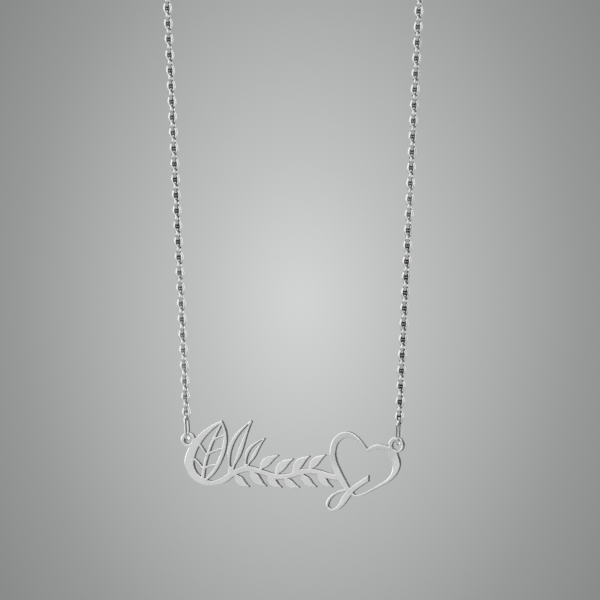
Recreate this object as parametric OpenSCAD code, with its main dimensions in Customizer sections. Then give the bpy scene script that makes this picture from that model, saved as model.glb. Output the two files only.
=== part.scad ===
// Nameplate necklace: an openwork sheet with two eyelets, hung by two long
// jump rings from a fine cable chain. The loop hangs in the XZ plane from
// its highest point, the origin; the sheet's front faces -Y.

/* [Nameplate] */
// Thickness of the sheet
plate_t = 1; // [0.8:0.05:1.1]
// Factor on the width of every stroke of the openwork
stroke_k = 1; // [0.9:0.05:1.1]
// Rise of the openwork towards its right end, as a share of the distance
rise = 0.026; // [0:0.002:0.04]
// Outer diameter of the left eyelet
left_eyelet_d = 2.54; // [2.5:0.02:2.6]
// Diameter of the hole in the left eyelet
left_hole_d = 1.34; // [1.3:0.02:1.36]
// Outer diameter of the right eyelet
right_eyelet_d = 2.64; // [2.6:0.02:2.7]
// Diameter of the hole in the right eyelet
right_hole_d = 1.6; // [1.54:0.02:1.62]

/* [Jump rings] */
// Wire diameter of the jump rings
ring_wire_d = 0.4; // [0.36:0.02:0.42]
// Outer width of a jump ring
ring_w = 2.4; // [2.36:0.02:2.5]
// Outer length of a jump ring
ring_h = 4.4; // [4.3:0.05:4.6]
// Turn of each ring about the vertical, from the YZ plane
ring_yaw = 3; // [-3:1:4]
// Lean of each ring outwards, in line with its chain
lean = 2.65; // [2:0.05:3.2]

/* [Chain] */
// Outer width of the chain's links, taken as the tube's diameter
chain_d = 1.4; // [1.2:0.05:1.5]
// Gap between the end of a chain tube and its neighbour
end_gap = 0.1; // [0.06:0.02:0.2]

/* [Clasp] */
// Outer diameter of the clasp's ring
clasp_d = 6; // [5:0.5:7]
// Diameter of the clasp's tube
clasp_tube_d = 1.1; // [1:0.05:1.2]
// Outer diameter of the two small eyes on the clasp
clasp_eye_d = 2.06; // [2:0.02:2.2]
// Wire diameter of the small eyes
clasp_eye_wire_d = 0.46; // [0.4:0.02:0.5]

/* [Hidden] */

silver = [0.83, 0.84, 0.84];
bright = [0.88, 0.89, 0.90];

// Height of the openwork's baseline; the origin is the top of the loop
base_z = -197;
// Moves a row of a table up or down so that the openwork rises to the right
function risen(q) = [for (i = [0:len(q) - 1]) i == 1 ? q[1] + rise * q[0] : q[i]];
// Eyelets: centre from the baseline's middle, outer diameter, hole's offset, hole's diameter, place of the ring along X
EYE_LEFT = [risen([-18.35, 7.7]), left_eyelet_d, [0, 0], left_hole_d, -0.23];
EYE_RIGHT = [risen([18.15, 7]), right_eyelet_d, [0.12, -0.1], right_hole_d, 0.27];
// Middle of an eyelet's rim over its hole, where the ring passes
function rim(E) =
    let (x = E[4], top = sqrt(pow(E[1] / 2, 2) - x * x), hole = sqrt(pow(E[3] / 2, 2) - pow(x - E[2][0], 2)) + E[2][1])
    E[0] + [x, (top + hole) / 2];
// Lowest wire centre of each jump ring below the rim's middle
ring_drop = 0.87;

// Strokes of the openwork: columns are x, z from the baseline's middle, width
BROAD_OUT = [[-13.6, 0.45, 0.85], [-15.4, 0.6, 1.1], [-17.25, 1.7, 1.45], [-18.15, 3.6, 1.65], [-17.65, 5.9, 1.5],
             [-16.4, 7.8, 1.25], [-14.6, 9.5, 0.85], [-12.5, 10.75, 0.4]];
BROAD_IN = [[-12.5, 10.75, 0.4], [-11.85, 8.9, 0.6], [-12.0, 6.5, 0.72], [-12.9, 4.0, 0.68], [-14.1, 2.1, 0.58], [-15.5, 0.9, 0.5]];
BROAD_RIB = [[-15.8, 0.9, 0.6], [-15.5, 3.2, 0.55], [-14.7, 5.9, 0.48], [-13.7, 8.2, 0.42], [-12.6, 10.3, 0.38]];
STEM = [[-14.0, 0.45, 0.85], [-12.3, 0.9, 1.05], [-10.3, 2.2, 1.0], [-8.0, 2.9, 1.05], [-5.5, 2.4, 0.85], [-3.0, 1.6, 1.0],
        [-0.5, 1.75, 0.85], [2.0, 2.5, 1.0], [4.4, 2.4, 0.9], [6.3, 1.75, 1.0], [8.3, 1.5, 1.0]];
// Leaves of the sprig: base x, base z, tip x, tip z, width, bend, slit's share of the width
LEAVES = [
    [-10.9, 1.9, -7.3, 10.8, 2.6, 0.85, 0.42],
    [-8.2, 2.9, -5.0, 7.9, 1.9, 0.65, 0.36],
    [-5.8, 2.5, -2.6, 5.1, 1.45, 0.45, 0],
    [-3.0, 1.6, 0.0, 4.5, 1.5, 0.5, 0],
    [0.1, 1.9, 2.9, 5.0, 1.5, 0.5, 0],
    [2.9, 2.5, 5.7, 5.2, 1.4, 0.42, 0],
    [-10.2, 2.2, -7.7, -0.1, 1.5, -0.35, 0],
    [-7.4, 2.8, -4.7, 0.0, 1.6, -0.4, 0],
    [-4.5, 2.1, -2.0, -0.2, 1.45, -0.35, 0],
    [-1.6, 1.6, 1.1, -0.2, 1.4, -0.35, 0],
    [1.5, 2.3, 4.1, -0.1, 1.5, -0.4, 0],
    [4.4, 2.4, 6.9, -0.1, 1.4, -0.35, 0],
];
// Side veins of the broad leaf: start x, start z, end x, end z, width
VEINS = [
    [-15.6, 2.7, -17.5, 4.7, 0.42], [-15.0, 4.9, -16.6, 7.2, 0.42],
    [-15.5, 3.0, -13.1, 3.6, 0.42], [-14.8, 5.4, -12.1, 6.3, 0.4], [-13.9, 7.7, -11.9, 8.5, 0.38],
];
// Heart: the left side from the tip up, over both lobes, and down the right side
HEART_LEFT = [[10.9, -1.6, 0.42], [9.9, -0.7, 0.8], [8.9, 0.6, 1.2], [7.9, 2.4, 1.3], [7.2, 4.2, 1.15],
              [7.05, 5.8, 1.0], [7.52, 7.5, 1.05], [8.7, 8.5, 1.1], [9.9, 8.66, 0.95],
              [11.2, 8.07, 0.64], [12.3, 7.0, 0.46], [13.05, 6.0, 0.42]];
HEART_TOP = [[13.05, 6.0, 0.42], [13.6, 6.3, 0.6], [14.9, 6.65, 0.85], [16.2, 6.5, 0.8], [17.4, 6.0, 0.9]];
HEART_RIGHT = [[17.4, 6.1, 1.3], [17.75, 5.0, 1.6], [18.15, 3.9, 1.42], [17.95, 2.6, 0.98], [16.9, 1.2, 0.6],
               [15.15, 0.15, 0.46], [13.7, -0.6, 0.42], [12.1, -1.35, 0.42], [10.9, -1.6, 0.42]];
// Tail through the heart's tip and round the loop below it
TAIL = [[14.0, 1.74, 0.92], [12.3, 0.75, 0.88], [11.2, 0.03, 0.88], [10.2, -0.75, 1.0], [9.4, -1.7, 1.1],
        [8.6, -2.9, 0.85], [7.6, -3.75, 0.6], [6.6, -3.9, 0.5], [6.1, -3.2, 0.46], [6.4, -2.2, 0.46],
        [7.3, -1.3, 0.46], [8.6, -0.75, 0.46], [9.9, -0.5, 0.46]];
// The tail's end is cut upright here
tail_end = 13.35;

// Bend of the chain, right half: columns are x, z, from the straight part's end up to the clasp
BEND = [[25.95, -36], [26.4, -27], [26, -21.1], [23.95, -14.55], [20.25, -8.75], [15.15, -4.1], [9.05, -0.85], [4.8, 0.45]];

// --- curves through a table's rows: parabola-fitted tangents, Hermite spans

function seg(P, i) = norm([P[i + 1][0] - P[i][0], P[i + 1][1] - P[i][1]]);
function slope(P, i) = (P[i + 1] - P[i]) / seg(P, i);
function inner_tangent(P, i) =
    let (a = seg(P, i - 1), b = seg(P, i)) (slope(P, i - 1) * b + slope(P, i) * a) / (a + b);
function tangent(P, i) =
    i == 0 ? 2 * slope(P, 0) - inner_tangent(P, 1)
    : i == len(P) - 1 ? 2 * slope(P, i - 1) - inner_tangent(P, i - 1)
    : inner_tangent(P, i);
function on_span(P, i, t) =
    let (d = seg(P, i), a = t * t, b = a * t)
    (2 * b - 3 * a + 1) * P[i] + (b - 2 * a + t) * d * tangent(P, i)
    + (3 * a - 2 * b) * P[i + 1] + (b - a) * d * tangent(P, i + 1);
// Rows of the table with others between them, about step apart
function smooth(P, step) =
    concat([for (i = [0:len(P) - 2]) let (n = max(3, ceil(seg(P, i) / step)))
            for (k = [0:n - 1]) on_span(P, i, k / n)], [P[len(P) - 1]]);
function side(Q, i) =
    let (a = Q[max(0, i - 1)], b = Q[min(len(Q) - 1, i + 1)], d = [b[0] - a[0], b[1] - a[1]] / norm([b[0] - a[0], b[1] - a[1]]))
    [-d[1], d[0]];

// --- nameplate

// One stroke of varying width with round ends
module stroke(P, step = 0.6) {
    Q = [for (q = smooth(P, step)) risen(q)];
    for (i = [0:len(Q) - 2]) {
        a = [Q[i][0], Q[i][1]];
        b = [Q[i + 1][0], Q[i + 1][1]];
        na = side(Q, i) * Q[i][2] * stroke_k / 2;
        nb = side(Q, i + 1) * Q[i + 1][2] * stroke_k / 2;
        polygon([a + na, b + nb, b - nb, a - na]);
    }
    for (q = [Q[0], Q[len(Q) - 1]])
        translate([q[0], q[1]]) circle(d = q[2] * stroke_k, $fn = 16);
}

// Rows of a leaf's middle line: L is a row of LEAVES, k scales its width
function leaf_line(L, k) =
    let (b = [L[0], L[1]], d = [L[2] - L[0], L[3] - L[1]], n = [-d[1], d[0]] / norm(d))
    [for (r = [[0, 0.3], [0.16, 0.45], [0.32, 0.88], [0.48, 1], [0.66, 0.82], [0.82, 0.5], [0.92, 0.28], [1, 0.15]])
        let (p = b + d * r[0] + n * L[5] * sin(180 * r[0])) [p[0], p[1], L[4] * k * r[1]]];
function middle(P) = [for (i = [1:len(P) - 2]) P[i]];

module outline() {
    offset(delta = -0.03) offset(delta = 0.03) {
        for (P = [BROAD_OUT, BROAD_IN, BROAD_RIB, STEM, HEART_LEFT, HEART_TOP, HEART_RIGHT])
            stroke(P);
        difference() {
            stroke(TAIL);
            translate([tail_end, 0]) square([2, 4]);
        }
        for (L = LEAVES) difference() {
            stroke(leaf_line(L, 1));
            if (L[6] > 0) stroke(middle(leaf_line(L, L[6])));
        }
        for (v = VEINS) stroke([[v[0], v[1], v[4]], [(v[0] + v[2]) / 2, (v[1] + v[3]) / 2 + 0.12, v[4]], [v[2], v[3], v[4]]]);
        for (E = [EYE_LEFT, EYE_RIGHT])
            translate(E[0]) circle(d = E[1], $fn = 48);
    }
}

module nameplate() {
    color(silver)
    translate([0, 0, base_z]) rotate([90, 0, 0])
    difference() {
        translate([0, 0, -plate_t / 2]) linear_extrude(plate_t) outline();
        for (E = [EYE_LEFT, EYE_RIGHT]) {
            c = E[0] + E[2];
            translate([c[0], c[1], -plate_t]) cylinder(d = E[3], h = 2 * plate_t, $fn = 48);
        }
    }
}

// --- jump rings

// Long ring in the YZ plane about its own middle
module long_ring() {
    r = (ring_w - ring_wire_d) / 2;
    s = (ring_h - ring_w) / 2;
    rotate([0, 90, 0]) {
        for (end = [0, 180])
            rotate([0, 0, end]) translate([s, 0, 0]) rotate([0, 0, -90])
                rotate_extrude(angle = 180, $fn = 48) translate([r, 0]) circle(d = ring_wire_d, $fn = 32);
        for (y = [-r, r])
            translate([-s, y, 0]) rotate([0, 90, 0]) cylinder(d = ring_wire_d, h = 2 * s, $fn = 32);
    }
}

// Ring whose lowest wire centre is ring_drop below the middle of the rim of eyelet E
module hung_ring(E, tilt) {
    half = (ring_h - ring_wire_d) / 2;
    m = rim(E);
    color(bright)
    translate([m[0], 0, base_z + m[1] - ring_drop])
        rotate([0, tilt, 0]) rotate([0, 0, ring_yaw]) translate([0, 0, half]) long_ring();
}

module jump_ring_left() {
    hung_ring(EYE_LEFT, -lean);
}

module jump_ring_right() {
    hung_ring(EYE_RIGHT, lean);
}

// --- chain

// Start of the chain just above the top of the ring at eyelet E, as x from the middle and z
function chain_start(E) =
    let (m = rim(E), long = ring_h - ring_wire_d)
    [abs(m[0]) + long * sin(lean), base_z + m[1] - ring_drop + long * cos(lean) + ring_wire_d / 2 + end_gap];

// Middle line of half the chain: straight up from low, then round the bend
function route(low) =
    let (P = concat([for (k = [0:5]) low + (BEND[0] - low) * k / 6], BEND), n = len(P))
    concat([for (k = [0:5]) P[k]],
           [for (i = [6:n - 2]) let (m = ceil(seg(P, i) / 1.6)) for (k = [0:m - 1]) on_span(P, i, k / m)],
           [P[n - 1]]);

// Tube along the route, cut square at both ends; sign mirrors it
module chain_tube(low, sign) {
    Q = route(low);
    last = len(Q) - 1;
    r = chain_d / 2;
    pts = [for (i = [0:last]) let (s = side(Q, i)) for (k = [0:7])
           let (a = 45 * k + 22.5) [sign * (Q[i][0] + s[0] * r * cos(a)), r * sin(a), Q[i][1] + s[1] * r * cos(a)]];
    walls = [for (i = [0:last - 1]) for (k = [0:7]) let (m = (k + 1) % 8)
             [8 * i + k, 8 * i + m, 8 * i + 8 + m, 8 * i + 8 + k]];
    caps = [[for (k = [7:-1:0]) k], [for (k = [0:7]) 8 * last + k]];
    faces = concat(walls, caps);
    color(bright)
    polyhedron(pts, sign > 0 ? faces : [for (f = faces) [for (j = [len(f) - 1:-1:0]) f[j]]], convexity = 4);
}

module chain_left() {
    chain_tube(chain_start(EYE_LEFT), -1);
}

module chain_right() {
    chain_tube(chain_start(EYE_RIGHT), 1);
}

// --- clasp: a closed ring with a small eye at each side and a thumb lug

module flat_ring(d, wire) {
    rotate_extrude($fn = 64) translate([(d - wire) / 2, 0]) circle(d = wire, $fn = 32);
}

module clasp() {
    eye_x = clasp_d / 2 + clasp_eye_d / 2 - clasp_eye_wire_d * 0.9;
    color(bright)
    translate([0, 0, clasp_tube_d / 2]) {
        flat_ring(clasp_d, clasp_tube_d);
        for (x = [-eye_x, eye_x])
            translate([x, 0, 0]) flat_ring(clasp_eye_d, clasp_eye_wire_d);
        rotate([0, 0, 60]) translate([clasp_d / 2 - clasp_tube_d / 2, 0, 0])
            rotate([0, 90, 0]) cylinder(d = 0.7, h = clasp_tube_d / 2 + 0.45, $fn = 32);
    }
}

nameplate();
jump_ring_left();
jump_ring_right();
chain_left();
chain_right();
clasp();
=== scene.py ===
"""Nameplate necklace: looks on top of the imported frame. Lengths are metres unless a name ends in _mm."""
import math

import bpy
import numpy as np
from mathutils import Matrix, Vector, geometry


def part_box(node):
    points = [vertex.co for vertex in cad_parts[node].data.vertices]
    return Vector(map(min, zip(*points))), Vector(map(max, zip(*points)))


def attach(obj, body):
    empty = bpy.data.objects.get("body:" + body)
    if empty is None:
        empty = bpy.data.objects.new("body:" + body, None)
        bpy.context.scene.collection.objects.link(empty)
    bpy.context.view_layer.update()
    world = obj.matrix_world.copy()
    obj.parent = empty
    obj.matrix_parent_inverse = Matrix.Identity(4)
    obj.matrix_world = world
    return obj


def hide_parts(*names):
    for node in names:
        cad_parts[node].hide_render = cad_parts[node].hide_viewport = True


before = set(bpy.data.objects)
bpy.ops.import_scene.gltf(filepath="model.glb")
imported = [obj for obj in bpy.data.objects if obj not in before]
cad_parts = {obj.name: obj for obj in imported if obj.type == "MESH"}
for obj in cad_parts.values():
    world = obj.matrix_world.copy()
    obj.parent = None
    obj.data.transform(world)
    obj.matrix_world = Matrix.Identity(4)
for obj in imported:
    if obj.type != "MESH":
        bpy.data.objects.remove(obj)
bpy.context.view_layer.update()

SCENE = bpy.context.scene
COLL = SCENE.collection
MM = 0.001

# ------------------------------------------------------------------ camera at the photograph's angle

AZ, EL = math.radians(18.0), math.radians(4.8)
BACK = Vector((math.sin(AZ) * math.cos(EL), -math.cos(AZ) * math.cos(EL), math.sin(EL)))
RIGHT = Vector((math.cos(AZ), math.sin(AZ), 0.0))
TARGET = Vector((1.23, 0.0, -165.8)) * MM

cam_data = bpy.data.cameras.new("camera")
cam_data.lens = 720.0
cam_data.sensor_width = 36.0
cam_data.clip_start, cam_data.clip_end = 0.01, 50.0
cam = bpy.data.objects.new("camera", cam_data)
COLL.objects.link(cam)
DISTANCE = 2.0
cam.location = TARGET + BACK * DISTANCE
cam.rotation_mode = "QUATERNION"
cam.rotation_quaternion = (-BACK).to_track_quat("-Z", "Y")
SCENE.camera = cam
SCENE.view_settings.view_transform = "Standard"
SCENE.view_settings.look = "None"


# ------------------------------------------------------------------ mesh helpers

def add_mesh(name, verts_mm, faces, smooth=True):
    """A mesh object from vertices in millimetres, in the row frame."""
    me = bpy.data.meshes.new(name)
    me.from_pydata([tuple(v) for v in (np.asarray(verts_mm, float) * MM)], [], faces)
    me.validate(verbose=False)
    me.update()
    if smooth:
        me.polygons.foreach_set("use_smooth", [True] * len(me.polygons))
    ob = bpy.data.objects.new(name, me)
    COLL.objects.link(ob)
    return ob


def unit(v):
    return v / np.linalg.norm(v)


def sweep(path, frames, radii, sides, closed, squash=1.0):
    """Vertices and faces of a round wire along path. frames holds two unit vectors across the wire at each point."""
    path, radii = np.asarray(path, float), np.asarray(radii, float)
    n = len(path)
    a = 2 * np.pi * np.arange(sides) / sides
    ring = np.cos(a)[None, :, None] * frames[0][:, None, :] + squash * np.sin(a)[None, :, None] * frames[1][:, None, :]
    verts = (path[:, None, :] + radii[:, None, None] * ring).reshape(-1, 3)
    faces = []
    for i in range(n if closed else n - 1):
        p, q = i * sides, ((i + 1) % n) * sides
        for k in range(sides):
            m = (k + 1) % sides
            faces.append((p + k, q + k, q + m, p + m))
    if not closed:
        faces.append(tuple(range(sides)))
        faces.append(tuple(range((n - 1) * sides + sides - 1, (n - 1) * sides - 1, -1)))
    return verts, faces


# ------------------------------------------------------------------ nameplate: the CAD outline with smooth curves and softened edges

def front_loops(node):
    """Closed outlines, in mm as (x, z), of the faces of a CAD node that look along -Y."""
    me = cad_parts[node].data
    co = np.array([v.co for v in me.vertices]) / MM
    low = co[:, 1].min()
    key = {}
    index = []
    for c in co:
        k = (round(c[0] * 2000), round(c[2] * 2000), round(c[1] * 2000))
        index.append(key.setdefault(k, len(key)))
    where = np.zeros((len(key), 3))
    for i, c in zip(index, co):
        where[i] = c
    count = {}
    for p in me.polygons:
        ids = [index[v] for v in p.vertices]
        if all(abs(where[i][1] - low) < 0.01 for i in ids):
            for a, b in zip(ids, ids[1:] + ids[:1]):
                if a != b:
                    count[(a, b)] = count.get((a, b), 0) + 1
    after = {a: b for (a, b) in count if (b, a) not in count}
    loops = []
    while after:
        start, at = next(iter(after.items()))
        loop = [start]
        del after[start]
        while at != start and at in after:
            loop.append(at)
            at = after.pop(at)
        if len(loop) > 5:
            loops.append(where[loop][:, [0, 2]])
    return loops


def area(P):
    x, z = P[:, 0], P[:, 1]
    return 0.5 * float(np.sum(x * np.roll(z, -1) - np.roll(x, -1) * z))


def turning(P):
    a = P - np.roll(P, 1, 0)
    b = np.roll(P, -1, 0) - P
    return np.degrees(np.arctan2(a[:, 0] * b[:, 1] - a[:, 1] * b[:, 0], (a * b).sum(1)))


def dense(P, step, corner_deg, passes):
    """The loop with points step apart, smoothed between its corners, which stay where they are."""
    keep = [0]
    for i in range(1, len(P)):
        if np.linalg.norm(P[i] - P[keep[-1]]) > 0.02:
            keep.append(i)
    P = P[keep]
    if np.linalg.norm(P[0] - P[-1]) < 0.02:
        P = P[:-1]
    corner = np.abs(turning(P)) > corner_deg
    pts, pin = [], []
    for i in range(len(P)):
        a, b = P[i], P[(i + 1) % len(P)]
        n = max(1, int(round(np.linalg.norm(b - a) / step)))
        for k in range(n):
            pts.append(a + (b - a) * k / n)
            pin.append(bool(corner[i]) and k == 0)
    Q, pin = np.array(pts), np.array(pin)
    for _ in range(passes):
        for lam in (0.5, -0.52):
            D = (np.roll(Q, 1, 0) + np.roll(Q, -1, 0)) / 2 - Q
            D[pin] = 0
            Q = Q + lam * D
    return Q, pin


def out_normals(Q):
    """Unit normals that point away from the metal (it lies to the left of each loop), with the mitre's length."""
    a, b = Q - np.roll(Q, 1, 0), np.roll(Q, -1, 0) - Q
    a /= np.linalg.norm(a, axis=1)[:, None]
    b /= np.linalg.norm(b, axis=1)[:, None]
    na, nb = np.stack([a[:, 1], -a[:, 0]], 1), np.stack([b[:, 1], -b[:, 0]], 1)
    n = na + nb
    n /= np.maximum(np.linalg.norm(n, axis=1), 1e-9)[:, None]
    mitre = 1 / np.clip((n * na).sum(1), 0.6, 1)
    return n, mitre


def edge_room(Q, n, every, most):
    """The edge's radius at each point: less where the metal is too narrow for it, as at a leaf's tip."""
    d = every[None, :, :] - Q[:, None, :]
    deep = -(d * n[:, None, :]).sum(2)
    circle = np.where(deep > 1e-4, (d * d).sum(2) / (2 * np.maximum(deep, 1e-4)), 9.0)      # radius of the circle inside the metal through both points
    room = np.minimum(most, 0.8 * circle.min(1))
    step = 0.5 * np.linalg.norm(np.roll(Q, -1, 0) - Q, axis=1)
    for _ in range(6):
        room = np.minimum(room, np.minimum(np.roll(room, 1) + np.roll(step, 1), np.roll(room, -1) + step))
    return room


def make_nameplate():
    low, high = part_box("nameplate")
    y0, y1 = low.y / MM, high.y / MM
    bev = 0.18                      # radius worn onto the sheet's edges
    loops = front_loops("nameplate")
    big = max(range(len(loops)), key=lambda i: abs(area(loops[i])))
    verts, norms, edge, faces = [], [], [], []
    rings = []                      # per loop: first vertex and length
    profile = []                    # inset in radii, the face's y, way from it in radii, the normal's y, wall share
    for k in range(4):
        t = math.radians(30 * k)
        profile.append((1 - math.sin(t), y0, 1 - math.cos(t), -math.cos(t), k / 3))
    for k in range(3, -1, -1):
        t = math.radians(30 * k)
        profile.append((1 - math.sin(t), y1, math.cos(t) - 1, math.cos(t), k / 3))
    shapes = [dense(P[::-1] if (area(P) > 0) != (j == big) else P, 0.12, 32, 10)[0] for j, P in enumerate(loops)]
    for Q in shapes:
        n, mitre = out_normals(Q)
        room = edge_room(Q, n, np.vstack(shapes), bev)
        first = len(verts)
        for inset, y, rise, ny, wall in profile:
            R = Q - n * (inset * room * mitre)[:, None]
            side = math.sqrt(max(0.0, 1 - ny * ny))
            for p, m, r in zip(R, n, room):
                verts.append((p[0], y + rise * r, p[1]))
                norms.append((m[0] * side, ny, m[1] * side))
                edge.append(wall)
        N = len(Q)
        for r in range(len(profile) - 1):
            for i in range(N):
                m = (i + 1) % N
                faces.append((first + r * N + i, first + (r + 1) * N + i, first + (r + 1) * N + m, first + r * N + m))
        rings.append((first, N))
    # the two flat faces, filled inside the outer loop and outside the holes
    for row, turned in ((0, False), (len(profile) - 1, True)):
        ids = []
        cuts = []
        for first, N in rings:
            base = len(ids)
            ids += [first + row * N + i for i in range(N)]
            cuts += [(base + i, base + (i + 1) % N) for i in range(N)]
        flat = [Vector((verts[i][0], verts[i][2])) for i in ids]
        res = geometry.delaunay_2d_cdt(flat, cuts, [], 0, 1e-6)
        pts, tris, origin = res[0], res[2], res[3]
        loops2 = [np.array([(verts[first + row * N + i][0], verts[first + row * N + i][2]) for i in range(N)]) for first, N in rings]
        mid = np.array([[sum(pts[i][c] for i in t) / 3 for c in (0, 1)] for t in tris])
        inside = np.zeros(len(mid), int)
        for L in loops2:
            A, B = L, np.roll(L, -1, 0)
            for a, b in zip(A, B):
                c = (a[1] > mid[:, 1]) != (b[1] > mid[:, 1])
                if c.any():
                    xi = a[0] + (mid[:, 1] - a[1]) * (b[0] - a[0]) / ((b[1] - a[1]) or 1e-12)
                    inside += (c & (mid[:, 0] < xi)).astype(int)
        remap = []
        for o, p in zip(origin, pts):
            if o:
                remap.append(ids[o[0]])
            else:
                remap.append(len(verts))
                verts.append((p[0], verts[ids[0]][1], p[1]))
                norms.append((0.0, 1.0 if turned else -1.0, 0.0))
                edge.append(0.0)
        for t, s in zip(tris, inside):
            if s % 2 == 1:
                f = [remap[i] for i in t]
                if len(set(f)) < 3:
                    continue
                a, b, c = (np.array(verts[i]) for i in f)
                if (np.cross(b - a, c - a)[1] > 0) != turned:
                    f = f[::-1]
                faces.append(tuple(f))
    ob = add_mesh("nameplate_sheet", verts, faces)
    me = ob.data
    at = me.attributes.new("edge", "FLOAT", "POINT")
    at.data.foreach_set("value", edge[: len(me.vertices)])
    if len(me.vertices) == len(norms):
        me.normals_split_custom_set_from_vertices([tuple(unit(np.array(n))) for n in norms])
    return ob


# ------------------------------------------------------------------ jump rings, chain and clasp

WIRE_MM, WIRE_SEEN_MM = 0.4, 0.45       # in the CAD part, and as drawn here round the same middle line
RING_W_MM, RING_H_MM = 2.4, 4.4
RING_DROP_MM = 0.87
RIMS = {"left": (-18.58, -188.838, -2.65), "right": (18.42, -188.539, 2.65)}     # x and z of the rim that carries the ring, lean in degrees
YAW_DEG = 3.0


def turn(axis, deg):
    t = math.radians(deg)
    c, s = math.cos(t), math.sin(t)
    if axis == "y":
        return np.array([[c, 0, s], [0, 1, 0], [-s, 0, c]])
    return np.array([[c, -s, 0], [s, c, 0], [0, 0, 1]])


def ring_place(which):
    x, z, lean = RIMS[which]
    foot = np.array([x, 0, z - RING_DROP_MM])
    return foot, turn("y", lean) @ turn("z", YAW_DEG)


def ring_top(which):
    foot, R = ring_place(which)
    return foot + R @ np.array([0, 0, RING_H_MM - WIRE_MM])


def make_jump_ring(which):
    """Long ring with the hairline of its closed cut on the upper front side."""
    r, s = (RING_W_MM - WIRE_MM) / 2, (RING_H_MM - RING_W_MM) / 2
    half = (RING_H_MM - WIRE_MM) / 2
    arc, straight = math.pi * r, 2 * s
    total = 2 * (arc + straight)

    def at(d):
        d = d % total
        if d < straight:
            return np.array([0, -r, -s + d])
        d -= straight
        if d < arc:
            t = d / r
            return np.array([0, -r * math.cos(t), s + r * math.sin(t)])
        d -= arc
        if d < straight:
            return np.array([0, r, s - d])
        t = (d - straight) / r
        return np.array([0, r * math.cos(t), -s - r * math.sin(t)])

    cut = straight * 0.72
    gap = 0.012
    n = 150
    ds = cut + gap / 2 + (total - gap) * np.arange(n) / (n - 1)
    path = np.array([at(d) for d in ds])
    tang = np.array([unit(at(d + 0.01) - at(d - 0.01)) for d in ds])
    across = np.cross(tang, [1.0, 0, 0])
    frames = (np.tile([1.0, 0, 0], (n, 1)), across)
    radii = np.full(n, WIRE_SEEN_MM / 2)
    radii[[0, -1]] *= 0.93          # the cut's two ends are a little rounded
    verts, faces = sweep(path, frames, radii, 20, False)
    foot, R = ring_place(which)
    verts = (verts + [0, 0, half]) @ R.T + foot
    ob = add_mesh("jump_ring_wire_" + which, verts, faces)
    t = 2 * np.pi * np.arange(20) / 20
    # painted shade on each ring's flanks: which way the shaded sides face, where the shade starts and how soft it is,
    # set apart for each ring
    side, edge, soft = {"left": ((1.0, 0.0), 0.46, 0.30), "right": ((0.57, 0.82), 0.60, 0.20)}[which]
    shaded_flank = np.abs(np.cos(t)[None, :] * side[0] + np.sin(t)[None, :] * across[:, 1:2] * side[1])    # 1 on the two sides that get painted shade
    unshaded_ends = np.clip(np.maximum((path[:, 2] - half + 0.9) / 0.4, (1.3 - half - path[:, 2]) / 0.4), 0, 1)     # no painted shade at the two ends, where the ring sits in the link and the eyelet
    mark(ob, (0.2 + 0.6 * np.clip((shaded_flank - edge) / soft, 0, 1) * (1 - unshaded_ends[:, None])).ravel())
    # the painted shade on the flanks at nearly full strength
    mark(ob, np.full(len(verts), 0.96), "painted_shade")
    return ob


BEND = [(25.95, -36), (26.4, -27), (26.0, -21.1), (23.95, -14.55), (20.25, -8.75), (15.15, -4.1), (9.05, -0.85), (4.836, 0.5)]
PITCH_MM = 1.3038
LINK_END, LINK_SIDE, LINK_THICK = 0.64, 0.47, 0.44      # wire: along the link at its ends, across it at its sides, and through it
LINK_L, LINK_W = PITCH_MM + 2 * LINK_END, 1.4
LINK_ROLL_DEG = {"left": (0.0, 6.0), "right": (2.0, 10.0)}     # at the jump ring, and from the seventh link on
HOLE_SHADE = {                                             # stretches of a strand: way up from the jump ring in mm, and how strong the painted shade in the links' holes is
    "left": [(0, 0.6), (10, 0.6), (13, 0.75), (23, 0.7), (28, 0.95), (40, 0.95), (45, 0.85)],
    "right": [(0, 0.97), (29, 0.97), (33, 0.75), (36, 0.75), (41, 0.85)],
}
SEEN_MM = 80.0                   # straight part that hangs at full stretch; the rest shares what is left evenly


def route(which):
    """Points along the middle of half the chain, in mm, from the link in the jump ring to the link in the clasp's eye, for x > 0."""
    top = ring_top(which)
    low = np.array([abs(top[0]), top[2] + 0.45])
    P = [low + (np.array(BEND[0]) - low) * k / 6 for k in range(6)] + [np.array(b, float) for b in BEND]
    P = np.array(P)
    d = np.linalg.norm(np.diff(P, axis=0), axis=1)
    sl = np.diff(P, axis=0) / d[:, None]
    T = np.zeros_like(P)
    T[1:-1] = (sl[:-1] * d[1:, None] + sl[1:] * d[:-1, None]) / (d[1:] + d[:-1])[:, None]
    T[0], T[-1] = 2 * sl[0] - T[1], 2 * sl[-1] - T[-2]
    out = []
    for i in range(len(P) - 1):
        for k in range(60):
            t = k / 60
            a, b = t * t, t * t * t
            out.append((2 * b - 3 * a + 1) * P[i] + (b - 2 * a + t) * d[i] * T[i] + (3 * a - 2 * b) * P[i + 1] + (b - a) * d[i] * T[i + 1])
    out.append(P[-1])
    return np.array(out)


SIDES, AROUND_LINK = 16, 32
SECTION = 2 * np.pi * np.arange(SIDES) / SIDES
SECTION = [np.sign(f(SECTION)) * np.abs(f(SECTION)) ** 0.36 for f in (lambda a: np.round(np.cos(a), 9), lambda a: np.round(np.sin(a), 9))]


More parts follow.
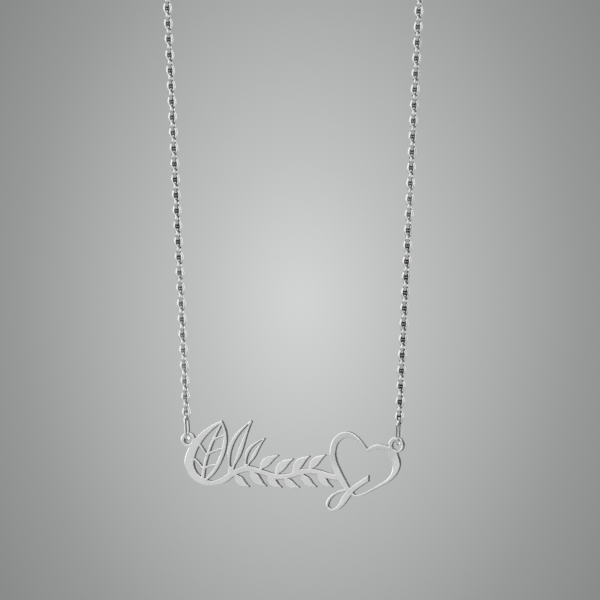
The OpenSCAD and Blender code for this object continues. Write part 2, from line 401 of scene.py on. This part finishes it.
def link_template():
    """One link about its middle: length along x, width along y. Its wire was rolled to four flats with soft corners."""
    a, b = (LINK_L - LINK_END) / 2, (LINK_W - LINK_SIDE) / 2
    t = 2 * np.pi * np.arange(AROUND_LINK) / AROUND_LINK
    full = 1.16                         # 1 is an ellipse, more is a little slimmer at the ends
    path = np.stack([a * np.sign(np.cos(t)) * np.abs(np.cos(t)) ** full, b * np.sign(np.sin(t)) * np.abs(np.sin(t)) ** full, 0 * t], 1)
    tang = np.roll(path, -1, 0) - np.roll(path, 1, 0)
    tang /= np.linalg.norm(tang, axis=1)[:, None]
    out = np.cross(tang, [0, 0, 1.0])
    wide = LINK_END + (LINK_SIDE - LINK_END) * np.abs(tang[:, 0:1]) ** 2
    wide[AROUND_LINK // 4] *= 1.04       # the soldered joint of the link
    c, d = SECTION
    verts = path[:, None, :] + c[None, :, None] * (out * wide / 2)[:, None, :] + d[None, :, None] * np.array([0, 0, LINK_THICK / 2])
    faces = []
    for i in range(AROUND_LINK):
        p, q = i * SIDES, ((i + 1) % AROUND_LINK) * SIDES
        for k in range(SIDES):
            m = (k + 1) % SIDES
            faces.append((p + k, q + k, q + m, p + m))
    return verts.reshape(-1, 3), faces


def link_inside(most):
    """How sheltered each vertex of a link is, from 0 on the outside to most at the link's hole, and at its ends, which
    the next links cover: the mask for the painted shade there and for the darker outer band.
    """
    t = 2 * np.pi * np.arange(AROUND_LINK) / AROUND_LINK
    end = np.clip((np.abs(np.cos(t)) - 0.70) / 0.15, 0, 1)
    return np.maximum(np.minimum(0.5 - 0.5 * SECTION[0], most)[None, :], 0.75 * end[:, None]).ravel()


def mark(ob, values, name="inside"):
    at = ob.data.attributes.new(name, "FLOAT", "POINT")
    at.data.foreach_set("value", np.asarray(values, np.float32))


def make_chain(which):
    rng = np.random.default_rng(11 if which == "left" else 23)
    sign = -1 if which == "left" else 1
    P = route(which)
    s = np.concatenate([[0], np.cumsum(np.linalg.norm(np.diff(P, axis=0), axis=1))])
    tight = int(SEEN_MM / PITCH_MM)
    slack = s[-1] - tight * PITCH_MM
    loose = math.ceil(slack / PITCH_MM)
    loose += (tight + loose) % 2
    count = tight + loose + 1
    places = [k * PITCH_MM for k in range(tight)] + [tight * PITCH_MM + k * slack / loose for k in range(loose + 1)]
    pitch = slack / loose
    base, link_faces = link_template()
    verts, faces = [], []
    for i in range(count):
        at = places[i]
        p = np.array([np.interp(at, s, P[:, 0]), np.interp(at, s, P[:, 1])])
        q0 = np.array([np.interp(max(0, at - 0.5), s, P[:, c]) for c in (0, 1)])
        q1 = np.array([np.interp(min(s[-1], at + 0.5), s, P[:, c]) for c in (0, 1)])
        d = unit(q1 - q0)
        t = np.array([sign * d[0], 0, d[1]])
        across = np.array([sign * d[1], 0, -d[0]])          # in the loop's plane, away from its middle
        across = across if sign > 0 else -across            # towards +X on both sides
        away = np.cross(t, across)
        away = away if away[1] > 0 else -away               # towards +Y
        share = min(1.0, max(0.0, (s[-1] - at) / 60.0))     # the twist runs out over the last 60 mm
        first, settled = LINK_ROLL_DEG[which]
        roll = math.radians(first + (settled - first) * min(1.0, i / 6)) * share + (0 if i % 2 == 0 else math.pi / 2)
        if 0 < i < count - 1:
            roll += math.radians(rng.uniform(-4, 4))
        tilt = math.radians(rng.uniform(-1.5, 1.5)) if 0 < i < count - 1 else 0
        w = across * math.cos(roll) + away * math.sin(roll)
        t2 = unit(t * math.cos(tilt) + w * math.sin(tilt))
        w2 = unit(w - t2 * (w @ t2))
        n2 = np.cross(t2, w2)
        half = 1 if rng.random() < 0.5 else -1
        B = base * [1, half, half]
        origin = np.array([sign * p[0], 0, p[1]])
        V = origin + B[:, :1] * t2 + B[:, 1:2] * w2 + B[:, 2:3] * n2
        k = i * len(base)
        verts.append(V)
        faces += [tuple(v + k for v in f) for f in link_faces]
    ob = add_mesh("chain_links_" + which, np.vstack(verts), faces)
    # painted shade: the holes of every other link are darkened fully, those of the links between less, and all link
    # ends
    mark(ob, np.concatenate([link_inside((1.0, 0.6)[i % 2]) for i in range(count)]))
    # how strong the painted shade is at each link along the strand, with a little random spread
    share = np.interp(places, *zip(*HOLE_SHADE[which])) + rng.uniform(-0.015, 0.015, count)
    mark(ob, np.repeat(share, len(base)), "painted_shade")
    print("links", which, count, "pitch", round(pitch, 4), "length", round(float(s[-1]), 1))
    return ob


def torus(d, wire, around, sides, shift=(0, 0, 0)):
    t = 2 * np.pi * np.arange(around) / around
    r = (d - wire) / 2
    out = np.stack([np.cos(t), np.sin(t), 0 * t], 1)
    up = np.tile([0, 0, 1.0], (around, 1))
    v, f = sweep(out * r, (out, up), np.full(around, wire / 2), sides, True)
    return v + np.array(shift), f


def make_clasp():
    """Spring ring: tube with a sleeve, hairlines at the gate, a thumb lug and two eyes."""
    d, tube, eye_d, eye_wire = 6.0, 1.1, 2.06, 0.46
    eye_x = d / 2 + eye_d / 2 - eye_wire * 0.9
    z = tube / 2
    around, sides = 240, 28
    t = 2 * np.pi * np.arange(around) / around
    r = (d - tube) / 2
    out = np.stack([np.cos(t), np.sin(t), 0 * t], 1)
    up = np.tile([0, 0, 1.0], (around, 1))
    radii = np.full(around, tube / 2)
    deg = np.degrees(t)
    for mid, half, depth in ((18, 1.6, 0.035), (102, 1.6, 0.035), (150, 1.2, 0.02), (210, 1.2, 0.02)):
        radii -= depth * np.exp(-(((deg - mid + 180) % 360 - 180) / half) ** 2)
    gate = (deg > 18) & (deg < 102)
    radii[gate] -= 0.02
    parts = [sweep(out * r, (out, up), radii, sides, True)]
    parts[0] = (parts[0][0] + [0, 0, z], parts[0][1])
    for x in (-eye_x, eye_x):
        parts.append(torus(eye_d, eye_wire, 64, 20, (x, 0, z)))
    # thumb lug: a small drum with rounded end, out along 60 degrees
    n = 12
    a = math.radians(60)
    o = np.array([math.cos(a), math.sin(a), 0])
    start = d / 2 - tube / 2
    prof = [(0, 0.33), (0.45, 0.33), (0.62, 0.29), (0.72, 0.30), (0.86, 0.35), (0.95, 0.345), (0.99, 0.31), (1.0, 0.2)]
    prof = [(p * (tube / 2 + 0.45), q) for p, q in prof]
    path = np.array([o * (start + p) + [0, 0, z] for p, _ in prof])
    side = np.array([-o[1], o[0], 0])
    fr = (np.tile(side, (len(prof), 1)), np.tile([0, 0, 1.0], (len(prof), 1)))
    parts.append(sweep(path, fr, np.array([q for _, q in prof]), 24, False))
    verts, faces = [], []
    for v, f in parts:
        k = sum(len(x) for x in verts)
        verts.append(v)
        faces += [tuple(i + k for i in g) for g in f]
    ob = add_mesh("clasp_ring", np.vstack(verts), faces)
    mark(ob, np.full(len(ob.data.vertices), 0.2))
    return ob


# ------------------------------------------------------------------ materials

def new_material(name):
    m = bpy.data.materials.new(name)
    m.use_nodes = True
    nt = m.node_tree
    bsdf = next((n for n in nt.nodes if n.type == "BSDF_PRINCIPLED"), None)
    if bsdf is None:
        bsdf = nt.nodes.new("ShaderNodeBsdfPrincipled")
        out = next((n for n in nt.nodes if n.type == "OUTPUT_MATERIAL"), None) or nt.nodes.new("ShaderNodeOutputMaterial")
        nt.links.new(bsdf.outputs[0], out.inputs[0])
    bsdf.inputs["Metallic"].default_value = 1.0
    return m, nt, bsdf


def node(nt, kind, **values):
    n = nt.nodes.new(kind)
    for k, v in values.items():
        if k in n.inputs:
            n.inputs[k].default_value = v
        else:
            setattr(n, k, v)
    return n


def mapped(nt, scale):
    """Object coordinates, in metres, times scale on each axis."""
    tc = nt.nodes.new("ShaderNodeTexCoord")
    mp = nt.nodes.new("ShaderNodeMapping")
    mp.inputs["Scale"].default_value = scale
    nt.links.new(tc.outputs["Object"], mp.inputs["Vector"])
    return mp.outputs["Vector"]


def ramp(nt, source, low, high, a, b):
    n = nt.nodes.new("ShaderNodeMapRange")
    n.inputs["From Min"].default_value = low
    n.inputs["From Max"].default_value = high
    n.inputs["To Min"].default_value = a
    n.inputs["To Max"].default_value = b
    nt.links.new(source, n.inputs["Value"])
    return n.outputs["Result"]


def mix_colour(nt, fac, a, b):
    n = nt.nodes.new("ShaderNodeMix")
    n.data_type = "RGBA"
    for sock, v in ((6, a), (7, b)):
        if isinstance(v, tuple):
            n.inputs[sock].default_value = v
        else:
            nt.links.new(v, n.inputs[sock])
    if isinstance(fac, float):
        n.inputs[0].default_value = fac
    else:
        nt.links.new(fac, n.inputs[0])
    return n.outputs[2]


def math_node(nt, op, a, b):
    n = nt.nodes.new("ShaderNodeMath")
    n.operation = op
    for i, v in enumerate((a, b)):
        if isinstance(v, (int, float)):
            n.inputs[i].default_value = v
        else:
            nt.links.new(v, n.inputs[i])
    return n.outputs[0]


def satin_silver():
    m, nt, bsdf = new_material("satin_silver")
    edge = nt.nodes.new("ShaderNodeAttribute")
    edge.attribute_name = "edge"
    on_edge = edge.outputs["Fac"]
    cloud = node(nt, "ShaderNodeTexNoise", Scale=1.0, Detail=3.0, Roughness=0.55)
    nt.links.new(mapped(nt, (260, 260, 420)), cloud.inputs["Vector"])
    warm = node(nt, "ShaderNodeTexNoise", Scale=1.0, Detail=1.0, Roughness=0.4)
    nt.links.new(mapped(nt, (110, 110, 150)), warm.inputs["Vector"])
    grain = node(nt, "ShaderNodeTexNoise", Scale=1.0, Detail=4.0, Roughness=0.7)
    nt.links.new(mapped(nt, (9000, 9000, 9000)), grain.inputs["Vector"])
    lines = node(nt, "ShaderNodeTexNoise", Scale=1.0, Detail=3.0, Roughness=0.6)
    nt.links.new(mapped(nt, (2600, 500, 14000)), lines.inputs["Vector"])
    c = mix_colour(nt, ramp(nt, warm.outputs["Fac"], 0.42, 0.62, 0.0, 1.0), (0.77, 0.785, 0.78, 1), (0.80, 0.77, 0.78, 1))
    c = mix_colour(nt, ramp(nt, cloud.outputs["Fac"], 0.3, 0.75, 0.0, 0.35), c, (0.68, 0.695, 0.695, 1))
    tc = nt.nodes.new("ShaderNodeTexCoord")             # a duller, darker patch over the heart's top
    place = nt.nodes.new("ShaderNodeMapping")
    place.vector_type = "POINT"
    wide, high = 1 / 0.0075, 1 / 0.0052
    place.inputs["Scale"].default_value = (wide, 0.0, high)
    place.inputs["Location"].default_value = (-0.012 * wide, 0.0, 0.1897 * high)
    nt.links.new(tc.outputs["Object"], place.inputs["Vector"])
    ball = nt.nodes.new("ShaderNodeTexGradient")
    ball.gradient_type = "SPHERICAL"
    nt.links.new(place.outputs["Vector"], ball.inputs["Vector"])
    c = mix_colour(nt, ramp(nt, ball.outputs["Fac"], 0.04, 0.20, 0.0, 1.0), c, (0.63, 0.645, 0.645, 1))
    c = mix_colour(nt, ramp(nt, on_edge, 0.0, 0.25, 0.0, 1.0), c, (0.965, 0.97, 0.97, 1))      # edges rubbed bright
    wall = ramp(nt, on_edge, 0.8, 1.0, 0.0, 1.0)        # painted shade: the cut walls get a near-black colour for the dark they reflect
    c = mix_colour(nt, wall, c, (0.125, 0.126, 0.126, 1))
    nt.links.new(c, bsdf.inputs["Base Color"])
    rough = ramp(nt, cloud.outputs["Fac"], 0.3, 0.7, 0.27, 0.34)
    rough = math_node(nt, "ADD", rough, ramp(nt, grain.outputs["Fac"], 0.3, 0.7, -0.02, 0.02))
    polished = math_node(nt, "MULTIPLY", math_node(nt, "SUBTRACT", on_edge, wall), 0.16)
    rough = math_node(nt, "ADD", math_node(nt, "SUBTRACT", rough, polished), math_node(nt, "MULTIPLY", wall, 0.3))
    nt.links.new(rough, bsdf.inputs["Roughness"])
    height = math_node(nt, "ADD", math_node(nt, "MULTIPLY", grain.outputs["Fac"], 0.6), math_node(nt, "MULTIPLY", lines.outputs["Fac"], 0.4))
    bump = nt.nodes.new("ShaderNodeBump")
    bump.inputs["Distance"].default_value = 0.000002
    nt.links.new(ramp(nt, on_edge, 0.0, 0.2, 0.11, 0.02), bump.inputs["Strength"])
    nt.links.new(height, bump.inputs["Height"])
    nt.links.new(bump.outputs["Normal"], bsdf.inputs["Normal"])
    return m


def polished_silver():
    m, nt, bsdf = new_material("polished_silver")
    cloud = node(nt, "ShaderNodeTexNoise", Scale=1.0, Detail=3.0, Roughness=0.6)
    nt.links.new(mapped(nt, (700, 700, 700)), cloud.inputs["Vector"])
    marks = node(nt, "ShaderNodeTexNoise", Scale=1.0, Detail=3.0, Roughness=0.65)
    nt.links.new(mapped(nt, (6000, 6000, 6000)), marks.inputs["Vector"])
    c = mix_colour(nt, ramp(nt, cloud.outputs["Fac"], 0.35, 0.75, 0.0, 1.0), (0.87, 0.875, 0.875, 1), (0.79, 0.795, 0.79, 1))
    inside = nt.nodes.new("ShaderNodeAttribute")
    inside.attribute_name = "inside"
    c = mix_colour(nt, ramp(nt, inside.outputs["Fac"], 0.02, 0.10, 1.0, 0.0), c, (0.70, 0.70, 0.695, 1))    # painted shade: the outer band is darker than the flats, to dim its reflection
    painted_shade = nt.nodes.new("ShaderNodeAttribute")
    painted_shade.attribute_name = "painted_shade"
    dark = math_node(nt, "MULTIPLY", ramp(nt, inside.outputs["Fac"], 0.51, 0.65, 0.0, 1.0), painted_shade.outputs["Fac"])    # painted shade in the links' holes and at their ends, and on the jump rings' flanks
    c = mix_colour(nt, dark, c, (0.045, 0.044, 0.042, 1))
    nt.links.new(c, bsdf.inputs["Base Color"])
    rough = ramp(nt, cloud.outputs["Fac"], 0.3, 0.7, 0.07, 0.13)
    nt.links.new(math_node(nt, "ADD", rough, ramp(nt, marks.outputs["Fac"], 0.45, 0.75, 0.0, 0.06)), bsdf.inputs["Roughness"])
    bump = nt.nodes.new("ShaderNodeBump")
    bump.inputs["Strength"].default_value = 0.2
    bump.inputs["Distance"].default_value = 0.000004
    nt.links.new(marks.outputs["Fac"], bump.inputs["Height"])
    nt.links.new(bump.outputs["Normal"], bsdf.inputs["Normal"])
    return m


# ------------------------------------------------------------------ the pieces

SATIN, POLISHED = satin_silver(), polished_silver()


def dress(ob, material, slot, body, *nodes):
    ob.data.materials.append(material)
    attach(ob, body)
    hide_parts(*nodes)
    return ob


dress(make_nameplate(), SATIN, "satin_silver", "pendant", "nameplate")
for which in ("left", "right"):
    dress(make_jump_ring(which), POLISHED, "polished_silver", "chain", "jump_ring_" + which)
    dress(make_chain(which), POLISHED, "polished_silver", "chain", "chain_" + which)
dress(make_clasp(), POLISHED, "polished_silver", "chain", "clasp")

# ------------------------------------------------------------------ studio: pale floor, backdrop glow, soft light

FLOOR_Z = -0.72
n = 96
ring = [(4.4 * math.cos(2 * math.pi * i / n), 4.4 * math.sin(2 * math.pi * i / n), FLOOR_Z) for i in range(n)]
floor = add_mesh("floor", np.array(ring) / MM, [tuple(range(n))], smooth=False)
fm, fnt, fb = new_material("floor_pale")
fb.inputs["Metallic"].default_value = 0.0
fb.inputs["Roughness"].default_value = 0.9
fb.inputs["Base Color"].default_value = (0.58, 0.59, 0.585, 1)
floor.data.materials.append(fm)

world = bpy.data.worlds.new("studio")
SCENE.world = world
world.use_nodes = True
wt = world.node_tree
wt.nodes.clear()
w_out = wt.nodes.new("ShaderNodeOutputWorld")
coord = wt.nodes.new("ShaderNodeTexCoord")
direction = coord.outputs["Generated"]


def vec(op, a, b=None):
    v = wt.nodes.new("ShaderNodeVectorMath")
    v.operation = op
    for i, x in enumerate((a, b)):
        if x is None:
            continue
        if isinstance(x, (tuple, list, Vector)):
            v.inputs[i].default_value = tuple(x)
        else:
            wt.links.new(x, v.inputs[i])
    return v


def wm(op, a, b=0.0, clamp=False):
    v = wt.nodes.new("ShaderNodeMath")
    v.operation = op
    v.use_clamp = clamp
    for i, x in enumerate((a, b)):
        if isinstance(x, (int, float)):
            v.inputs[i].default_value = x
        else:
            wt.links.new(x, v.inputs[i])
    return v.outputs[0]


# seen by the metal: a ring of soft panels and dark flats round the object, a bright ceiling and a pale floor
part = vec("DOT_PRODUCT", direction, (math.cos(AZ), math.sin(AZ), 0)).outputs["Value"]
towards = vec("DOT_PRODUCT", direction, (math.sin(AZ), -math.cos(AZ), 0)).outputs["Value"]
round_deg = wm("MULTIPLY", wm("ARCTAN2", part, towards), 180 / math.pi)     # 0 towards the camera, positive to its right
level = wt.nodes.new("ShaderNodeValToRGB")
AROUND = [(-180, 1.6), (-150, 1.7), (-100, 1.6), (-75, 1.05), (-50, 1.01), (-12, 0.99), (4, 0.90), (9, 0.50), (18, 0.08), (124, 0.06), (138, 1.9), (165, 1.9), (180, 1.6)]
els = level.color_ramp.elements
while len(els) < len(AROUND):
    els.new(0.5)
for e, (p, v) in zip(els, AROUND):
    e.position = (p + 180) / 360
    e.color = (v, v, v, 1)
wt.links.new(wm("DIVIDE", wm("ADD", round_deg, 180.0), 360.0), level.inputs["Fac"])
height = vec("DOT_PRODUCT", direction, (0, 0, 1.0)).outputs["Value"]


def blend(value, low, high, a, b):
    """a below low, b above high, and a soft step between."""
    mr = wt.nodes.new("ShaderNodeMapRange")
    mr.interpolation_type = "SMOOTHSTEP"
    mr.inputs["From Min"].default_value, mr.inputs["From Max"].default_value = low, high
    for name, x in (("To Min", a), ("To Max", b)):
        if isinstance(x, (int, float)):
            mr.inputs[name].default_value = x
        else:
            wt.links.new(x, mr.inputs[name])
    wt.links.new(value, mr.inputs["Value"])
    return mr.outputs["Result"]


ceiling = blend(towards, -0.25, 0.25, 0.92, 0.10)     # both are dim on the camera's side
floor_light = blend(towards, -0.25, 0.25, 0.9, 0.08)
panels = vec("SCALE", level.outputs["Color"])
fade = blend(height, 0.14, 0.34, 1.0, 0.58)
wt.links.new(blend(towards, -0.40, 0.0, fade, 1.0), panels.inputs["Scale"])     # the panels behind the object fade upwards
light = blend(height, 0.35, 0.60, panels.outputs["Vector"], ceiling)
light = blend(height, 0.62, 0.80, light, 1.15)
light = blend(height, 0.93, 0.985, light, 0.55)
light = blend(height, -0.60, -0.35, floor_light, light)

# seen behind the object: a soft glow round the middle of the photograph
GLOW = -BACK
UP = RIGHT.cross(GLOW).normalized()
across = vec("DOT_PRODUCT", direction, RIGHT).outputs["Value"]
upward = vec("DOT_PRODUCT", direction, UP).outputs["Value"]
ahead = wm("MAXIMUM", vec("DOT_PRODUCT", direction, GLOW).outputs["Value"], 0.05)
PIXEL = 0.1 / 600 / DISTANCE     # one pixel of the photograph, as the tangent of its angle
ex = wm("DIVIDE", wm("DIVIDE", across, ahead), 200 * PIXEL)
ey = wm("DIVIDE", wm("DIVIDE", upward, ahead), 295 * PIXEL)
rho = wm("SQRT", wm("ADD", wm("ADD", wm("MULTIPLY", ex, ex), wm("MULTIPLY", ey, ey)), 0.004))
glow = wt.nodes.new("ShaderNodeValToRGB")
els = glow.color_ramp.elements


def lin(v):
    v /= 255
    return v / 12.92 if v <= 0.04045 else ((v + 0.055) / 1.055) ** 2.4


stops = [(0.0, 213), (0.25, 203), (0.5, 192), (1.0, 171.5), (1.4, 153), (1.8, 138), (3.0, 132), (8.0, 178)]
while len(els) < len(stops):
    els.new(0.5)
for e, (p, v) in zip(els, stops):
    e.position = p / 8
    e.color = (lin(v - 1), lin(v + 1), lin(v), 1)
glow.color_ramp.interpolation = "LINEAR"
wt.links.new(wm("DIVIDE", rho, 8.0), glow.inputs["Fac"])

bg_light = wt.nodes.new("ShaderNodeBackground")
wt.links.new(light, bg_light.inputs["Color"])
bg_seen = wt.nodes.new("ShaderNodeBackground")
wt.links.new(glow.outputs["Color"], bg_seen.inputs["Color"])
path = wt.nodes.new("ShaderNodeLightPath")
mixw = wt.nodes.new("ShaderNodeMixShader")
wt.links.new(path.outputs["Is Camera Ray"], mixw.inputs[0])
wt.links.new(bg_light.outputs[0], mixw.inputs[1])
wt.links.new(bg_seen.outputs[0], mixw.inputs[2])
wt.links.new(mixw.outputs[0], w_out.inputs["Surface"])


def area_light(name, place, at, size, size_y, power):
    d = bpy.data.lights.new(name, "AREA")
    d.shape = "RECTANGLE"
    d.size, d.size_y, d.energy = size, size_y, power
    o = bpy.data.objects.new(name, d)
    COLL.objects.link(o)
    o.location = place
    o.rotation_mode = "QUATERNION"
    o.rotation_quaternion = (Vector(at) - Vector(place)).to_track_quat("-Z", "Y")
    o.visible_camera = False
    return o


area_light("key", (-0.9, -1.1, 0.5), (0, 0, -0.15), 0.7, 0.9, 1.0)
